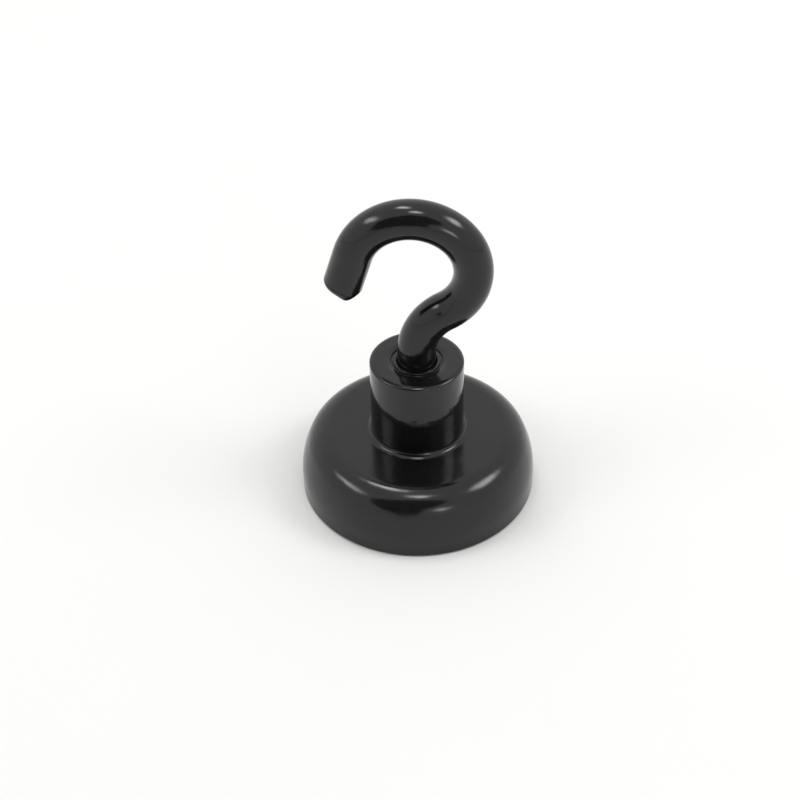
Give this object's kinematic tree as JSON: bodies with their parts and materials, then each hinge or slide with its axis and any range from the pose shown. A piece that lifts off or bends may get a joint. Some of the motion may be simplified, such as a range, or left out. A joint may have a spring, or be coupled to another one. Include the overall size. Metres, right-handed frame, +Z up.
{
  "type": "magnet fishing magnet",
  "caption": "Small pot magnet with a threaded boss and a screw-in open hook, coated gloss black all over.",
  "frame": {"origin": "centre of the pot's round holding face, in the plane that it stands on", "axes": "+Z up the pot's axis and out through the hook; the hook lies in the XZ plane at rest with its free end towards -X"},
  "size_m": [0.025, 0.025, 0.0354],
  "materials": {
    "black_coat": "gloss",
    "nickel_plate": "bright nickel with fine scratches",
    "potting": "satin"
  },
  "bodies": {
    "magnet_base": {"steel_pot": "black_coat", "threaded_boss": "black_coat", "magnet_disc": "nickel_plate", "potting_resin": "potting"},
    "hook": {"hook": "black_coat"}
  },
  "joints": [
    {"name": "hook_screw", "type": "hinge", "parent": "magnet_base", "child": "hook", "pos_m": [0, 0, 0.01625], "axis": [0, 0, 1], "range_deg": [0, 990]}
  ]
}
